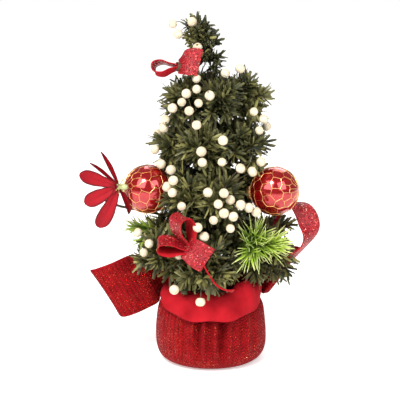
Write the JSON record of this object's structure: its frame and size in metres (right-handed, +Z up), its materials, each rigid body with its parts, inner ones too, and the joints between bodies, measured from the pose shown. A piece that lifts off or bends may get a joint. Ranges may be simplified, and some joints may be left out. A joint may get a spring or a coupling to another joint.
{
  "type": "artificial tabletop christmas tree",
  "caption": "Small wire-branched artificial pine in a weighted cloth bag, dressed with baubles, berries, ribbon bows, a cloth flower and pine picks.",
  "frame": {"origin": "on the stem's axis, at the underside of the bag", "axes": "+Z up along the stem, -Y towards the front, +X to the right as seen from the front"},
  "size_m": [0.1349, 0.107, 0.2023],
  "materials": {
    "bag_red": "glitter knit",
    "felt_red": "felt",
    "cup_plastic": "moulded",
    "plaster": "cast, matte",
    "stem_tape": "wound tape",
    "needle_green": "cut needles on twisted wire",
    "pick_green": "moulded needles",
    "berry_cream": "foam, flocked",
    "bauble_red": "gloss with gold net",
    "cap_gold": "gold-coloured",
    "wire_green": "painted wire",
    "silk_red": "woven",
    "stamen_green": "matte",
    "ribbon_red": "glitter on felt"
  },
  "bodies": {
    "base_and_stem": {"bag_cloth": "bag_red", "bag_collar": "felt_red", "neck_tie": "felt_red", "bag_bow_knot": "bag_red", "bag_bow_left_loop": "bag_red", "bag_bow_right_loop": "bag_red", "base_cup": "cup_plastic", "ballast_weight": "plaster", "trunk_stem": "stem_tape", "low_binding": "stem_tape", "middle_binding": "stem_tape", "high_binding": "stem_tape", "crown_binding": "stem_tape", "crown_bow": "ribbon_red"},
    "low_front_branch_body": {"low_front_branch": "needle_green", "low_front_berries": "berry_cream", "front_bow": "ribbon_red"},
    "low_left_branch_body": {"low_left_branch": "needle_green", "low_left_berries": "berry_cream"},
    "low_right_branch_body": {"low_right_branch": "needle_green", "side_bow": "ribbon_red"},
    "low_back_right_branch_body": {"low_back_right_branch": "needle_green"},
    "low_back_branch_body": {"low_back_branch": "needle_green", "low_back_berries": "berry_cream"},
    "low_back_left_branch_body": {"low_back_left_branch": "needle_green"},
    "middle_front_left_branch_body": {"middle_front_left_branch": "needle_green", "middle_front_left_berries": "berry_cream"},
    "middle_front_branch_body": {"middle_front_branch": "needle_green", "middle_front_berries": "berry_cream"},
    "middle_back_right_branch_body": {"middle_back_right_branch": "needle_green"},
    "middle_back_branch_body": {"middle_back_branch": "needle_green", "middle_back_berries": "berry_cream"},
    "middle_back_left_branch_body": {"middle_back_left_branch": "needle_green"},
    "high_left_branch_body": {"high_left_branch": "needle_green", "high_left_berries": "berry_cream"},
    "high_front_branch_body": {"high_front_branch": "needle_green", "high_front_berries": "berry_cream"},
    "high_right_branch_body": {"high_right_branch": "needle_green", "high_right_berries": "berry_cream"},
    "high_back_right_branch_body": {"high_back_right_branch": "needle_green"},
    "high_back_left_branch_body": {"high_back_left_branch": "needle_green"},
    "crown_left_branch_body": {"crown_left_branch": "needle_green", "crown_left_berries": "berry_cream"},
    "crown_front_branch_body": {"crown_front_branch": "needle_green", "crown_front_berries": "berry_cream"},
    "crown_right_branch_body": {"crown_right_branch": "needle_green"},
    "crown_back_branch_body": {"crown_back_branch": "needle_green"},
    "leader_body": {"leader_tip": "needle_green", "leader_berries": "berry_cream"},
    "left_bauble_pick": {"left_bauble": "bauble_red", "left_bauble_cap": "cap_gold", "left_bauble_wire": "wire_green"},
    "right_bauble_pick": {"right_bauble": "bauble_red", "right_bauble_cap": "cap_gold", "right_bauble_wire": "wire_green"},
    "flower_pick": {"flower_petals": "silk_red", "flower_stamens": "stamen_green", "flower_stem": "wire_green"},
    "right_pine_pick_body": {"right_pine_pick": "pick_green"},
    "left_pine_pick_body": {"left_pine_pick": "pick_green"}
  },
  "joints": [
    {"name": "low_front_bend", "type": "hinge", "parent": "base_and_stem", "child": "low_front_branch_body", "pos_m": [-0.00067, -0.00475, 0.061], "axis": [-0.9903, 0.1392, 0], "range_deg": [-3, 11]},
    {"name": "low_left_bend", "type": "hinge", "parent": "base_and_stem", "child": "low_left_branch_body", "pos_m": [-0.00428, -0.00218, 0.061], "axis": [-0.454, 0.891, 0], "range_deg": [-11, 11]},
    {"name": "low_right_bend", "type": "hinge", "parent": "base_and_stem", "child": "low_right_branch_body", "pos_m": [0.00464, -0.00124, 0.061], "axis": [-0.2588, -0.9659, 0], "range_deg": [-12, 8]},
    {"name": "low_back_right_bend", "type": "hinge", "parent": "base_and_stem", "child": "low_back_right_branch_body", "pos_m": [0.00368, 0.00309, 0.061], "axis": [0.6428, -0.766, 0], "range_deg": [-15, 20]},
    {"name": "low_back_bend", "type": "hinge", "parent": "base_and_stem", "child": "low_back_branch_body", "pos_m": [-0.00042, 0.00478, 0.061], "axis": [0.9962, 0.0872, 0], "range_deg": [-16, 20]},
    {"name": "low_back_left_bend", "type": "hinge", "parent": "base_and_stem", "child": "low_back_left_branch_body", "pos_m": [-0.00416, 0.0024, 0.061], "axis": [0.5, 0.866, 0], "range_deg": [-16, 17]},
    {"name": "middle_front_left_bend", "type": "hinge", "parent": "base_and_stem", "child": "middle_front_left_branch_body", "pos_m": [-0.00233, -0.0042, 0.087], "axis": [-0.8746, 0.4848, 0], "range_deg": [-15, 10]},
    {"name": "middle_front_bend", "type": "hinge", "parent": "base_and_stem", "child": "middle_front_branch_body", "pos_m": [0.00092, -0.00471, 0.087], "axis": [-0.9816, -0.1908, 0], "range_deg": [-16, 10]},
    {"name": "middle_back_right_bend", "type": "hinge", "parent": "base_and_stem", "child": "middle_back_right_branch_body", "pos_m": [0.00428, 0.00218, 0.087], "axis": [0.454, -0.891, 0], "range_deg": [-16, 20]},
    {"name": "middle_back_bend", "type": "hinge", "parent": "base_and_stem", "child": "middle_back_branch_body", "pos_m": [0, 0.0048, 0.087], "axis": [1, 0, 0], "range_deg": [-16, 20]},
    {"name": "middle_back_left_bend", "type": "hinge", "parent": "base_and_stem", "child": "middle_back_left_branch_body", "pos_m": [-0.00393, 0.00275, 0.087], "axis": [0.5736, 0.8192, 0], "range_deg": [-16, 20]},
    {"name": "high_left_bend", "type": "hinge", "parent": "base_and_stem", "child": "high_left_branch_body", "pos_m": [-0.00475, -0.00067, 0.113], "axis": [-0.1392, 0.9903, 0], "range_deg": [-16, 20]},
    {"name": "high_front_bend", "type": "hinge", "parent": "base_and_stem", "child": "high_front_branch_body", "pos_m": [-0.00108, -0.00468, 0.113], "axis": [-0.9744, 0.225, 0], "range_deg": [-16, 20]},
    {"name": "high_right_bend", "type": "hinge", "parent": "base_and_stem", "child": "high_right_branch_body", "pos_m": [0.00431, -0.0021, 0.113], "axis": [-0.4384, -0.8988, 0], "range_deg": [-16, 20]},
    {"name": "high_back_right_bend", "type": "hinge", "parent": "base_and_stem", "child": "high_back_right_branch_body", "pos_m": [0.00327, 0.00351, 0.113], "axis": [0.7314, -0.682, 0], "range_deg": [-16, 20]},
    {"name": "high_back_left_bend", "type": "hinge", "parent": "base_and_stem", "child": "high_back_left_branch_body", "pos_m": [-0.0024, 0.00416, 0.113], "axis": [0.866, 0.5, 0], "range_deg": [-16, 20]},
    {"name": "crown_left_bend", "type": "hinge", "parent": "base_and_stem", "child": "crown_left_branch_body", "pos_m": [-0.00407, -0.00254, 0.139], "axis": [-0.5299, 0.848, 0], "range_deg": [-16, 15]},
    {"name": "crown_front_bend", "type": "hinge", "parent": "base_and_stem", "child": "crown_front_branch_body", "pos_m": [0.00164, -0.00451, 0.139], "axis": [-0.9397, -0.342, 0], "range_deg": [-16, 20]},
    {"name": "crown_right_bend", "type": "hinge", "parent": "base_and_stem", "child": "crown_right_branch_body", "pos_m": [0.00479, 0.00034, 0.139], "axis": [0.0698, -0.9976, 0], "range_deg": [-16, 20]},
    {"name": "crown_back_bend", "type": "hinge", "parent": "base_and_stem", "child": "crown_back_branch_body", "pos_m": [-0.00148, 0.00456, 0.139], "axis": [0.9511, 0.309, 0], "range_deg": [-16, 20]},
    {"name": "leader_bend", "type": "hinge", "parent": "base_and_stem", "child": "leader_body", "pos_m": [0, 0, 0.1655], "axis": [0, 1, 0], "range_deg": [-16, 20]},
    {"name": "left_bauble_bend", "type": "hinge", "parent": "base_and_stem", "child": "left_bauble_pick", "pos_m": [-0.0054, -0.00189, 0.0945], "axis": [-0.3514, 0.9362, 0], "range_deg": [-2, 14]},
    {"name": "right_bauble_bend", "type": "hinge", "parent": "base_and_stem", "child": "right_bauble_pick", "pos_m": [0.0054, -0.00189, 0.0945], "axis": [-0.3514, -0.9362, 0], "range_deg": [-15, 14]},
    {"name": "flower_bend", "type": "hinge", "parent": "base_and_stem", "child": "flower_pick", "pos_m": [-0.0054, 0.0027, 0.073], "axis": [0, 0, 1], "range_deg": [-16, 20]},
    {"name": "right_pine_pick_bend", "type": "hinge", "parent": "base_and_stem", "child": "right_pine_pick_body", "pos_m": [0.003, -0.005, 0.066], "axis": [-0.6222, -0.7828, 0], "range_deg": [-16, 15]},
    {"name": "left_pine_pick_bend", "type": "hinge", "parent": "base_and_stem", "child": "left_pine_pick_body", "pos_m": [-0.005, -0.002, 0.068], "axis": [-0.1104, 0.9939, 0], "range_deg": [-11, 2]}
  ]
}
